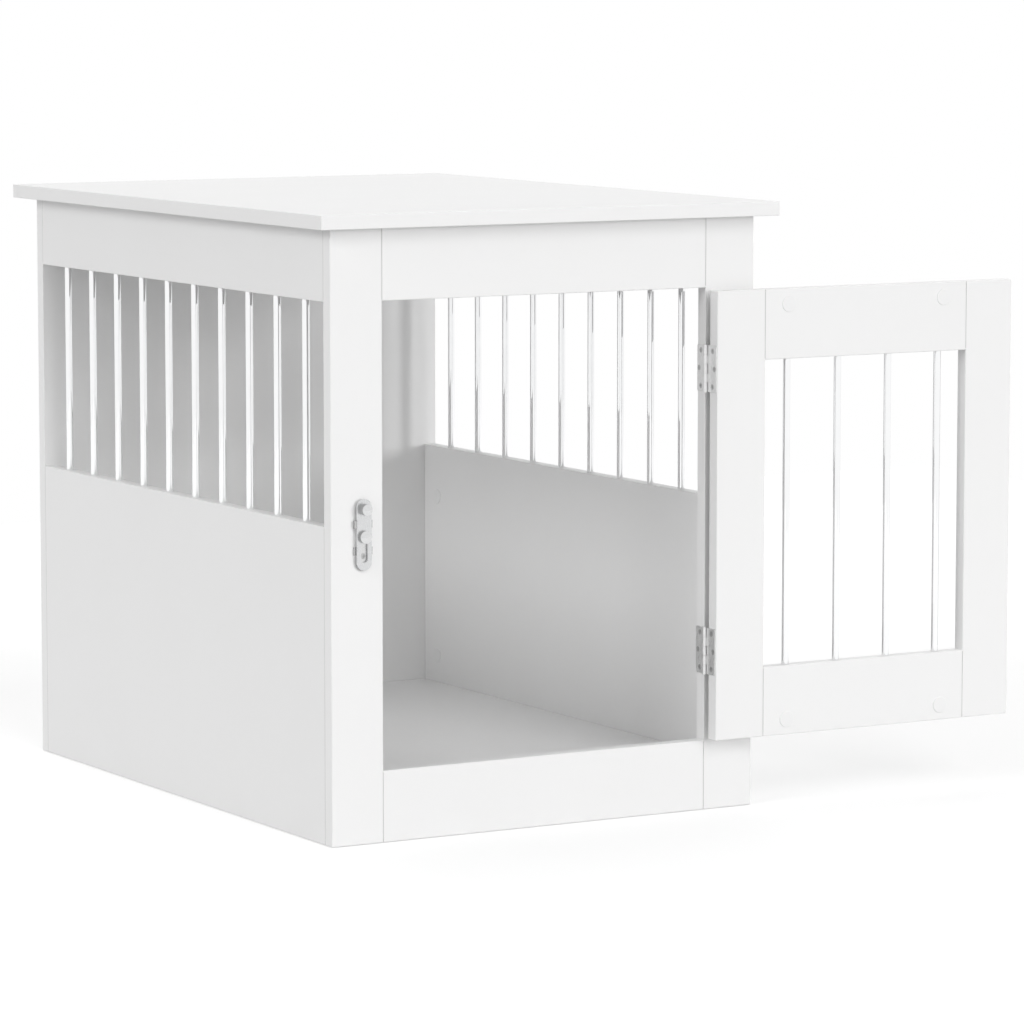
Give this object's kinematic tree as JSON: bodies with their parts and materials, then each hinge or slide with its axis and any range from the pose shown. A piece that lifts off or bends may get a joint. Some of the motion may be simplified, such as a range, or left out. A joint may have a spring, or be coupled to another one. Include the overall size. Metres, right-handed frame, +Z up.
{
  "type": "pet crate",
  "caption": "White boarded pet crate that serves as an end table, with round metal bars in its sides and in a hinged front door, and a turn latch.",
  "frame": {"origin": "middle of the carcass's footprint, on the floor", "axes": "+Z up, +X to the right as one faces the door, +Y from the door to the back"},
  "size_m": [0.85, 0.755, 0.65],
  "materials": {
    "white_board": "engineered wood board faced and edged with satin white melamine",
    "chrome_bar": "polished chrome-plated steel",
    "hinge_steel": "zinc-plated pressed steel",
    "screw_steel": "zinc-plated steel wood screws",
    "latch_steel": "satin nickel-plated steel",
    "zinc_fitting": "die-cast zinc and zinc-plated steel",
    "dowel_beech": "plain beech",
    "cap_plastic": "moulded white plastic"
  },
  "bodies": {
    "carcass": {"back_panel": "white_board", "body_cam_bolts": "zinc_fitting", "body_cam_caps": "cap_plastic", "body_cam_locks": "zinc_fitting", "body_dowels": "dowel_beech", "body_screws": "screw_steel", "floor_board": "white_board", "front_bottom_rail": "white_board", "front_left_stile": "white_board", "front_right_stile": "white_board", "front_top_rail": "white_board", "latch_base_plate": "latch_steel", "latch_pivot": "latch_steel", "latch_washer": "latch_steel", "left_bar_01": "chrome_bar", "left_bar_02": "chrome_bar", "left_bar_03": "chrome_bar", "left_bar_04": "chrome_bar", "left_bar_05": "chrome_bar", "left_bar_06": "chrome_bar", "left_bar_07": "chrome_bar", "left_bar_08": "chrome_bar", "left_bar_09": "chrome_bar", "left_bar_10": "chrome_bar", "left_lower_panel": "white_board", "left_upper_rail": "white_board", "lower_hinge_frame_leaf": "hinge_steel", "lower_hinge_pin": "hinge_steel", "right_bar_01": "chrome_bar", "right_bar_02": "chrome_bar", "right_bar_03": "chrome_bar", "right_bar_04": "chrome_bar", "right_bar_05": "chrome_bar", "right_bar_06": "chrome_bar", "right_bar_07": "chrome_bar", "right_bar_08": "chrome_bar", "right_bar_09": "chrome_bar", "right_bar_10": "chrome_bar", "right_lower_panel": "white_board", "right_upper_rail": "white_board", "table_top": "white_board", "upper_hinge_frame_leaf": "hinge_steel", "upper_hinge_pin": "hinge_steel"},
    "door": {"door_bar_1": "chrome_bar", "door_bar_2": "chrome_bar", "door_bar_3": "chrome_bar", "door_bar_4": "chrome_bar", "door_bottom_rail": "white_board", "door_cam_bolts": "zinc_fitting", "door_cam_caps": "cap_plastic", "door_cam_locks": "zinc_fitting", "door_dowels": "dowel_beech", "door_hinge_stile": "white_board", "door_latch_stile": "white_board", "door_screws": "screw_steel", "door_top_rail": "white_board", "lower_hinge_door_leaf": "hinge_steel", "upper_hinge_door_leaf": "hinge_steel"},
    "lever": {"latch_knob": "latch_steel", "latch_lever": "latch_steel"}
  },
  "joints": [
    {"name": "door_swing", "type": "hinge", "parent": "carcass", "child": "door", "pos_m": [0.1925, -0.3595, 0.3175], "axis": [0, 0, -1], "range_deg": [0, 180]},
    {"name": "latch_turn", "type": "hinge", "parent": "carcass", "child": "lever", "pos_m": [-0.2185, -0.3583, 0.3195], "axis": [0, 1, 0], "range_deg": [0, 90]}
  ]
}
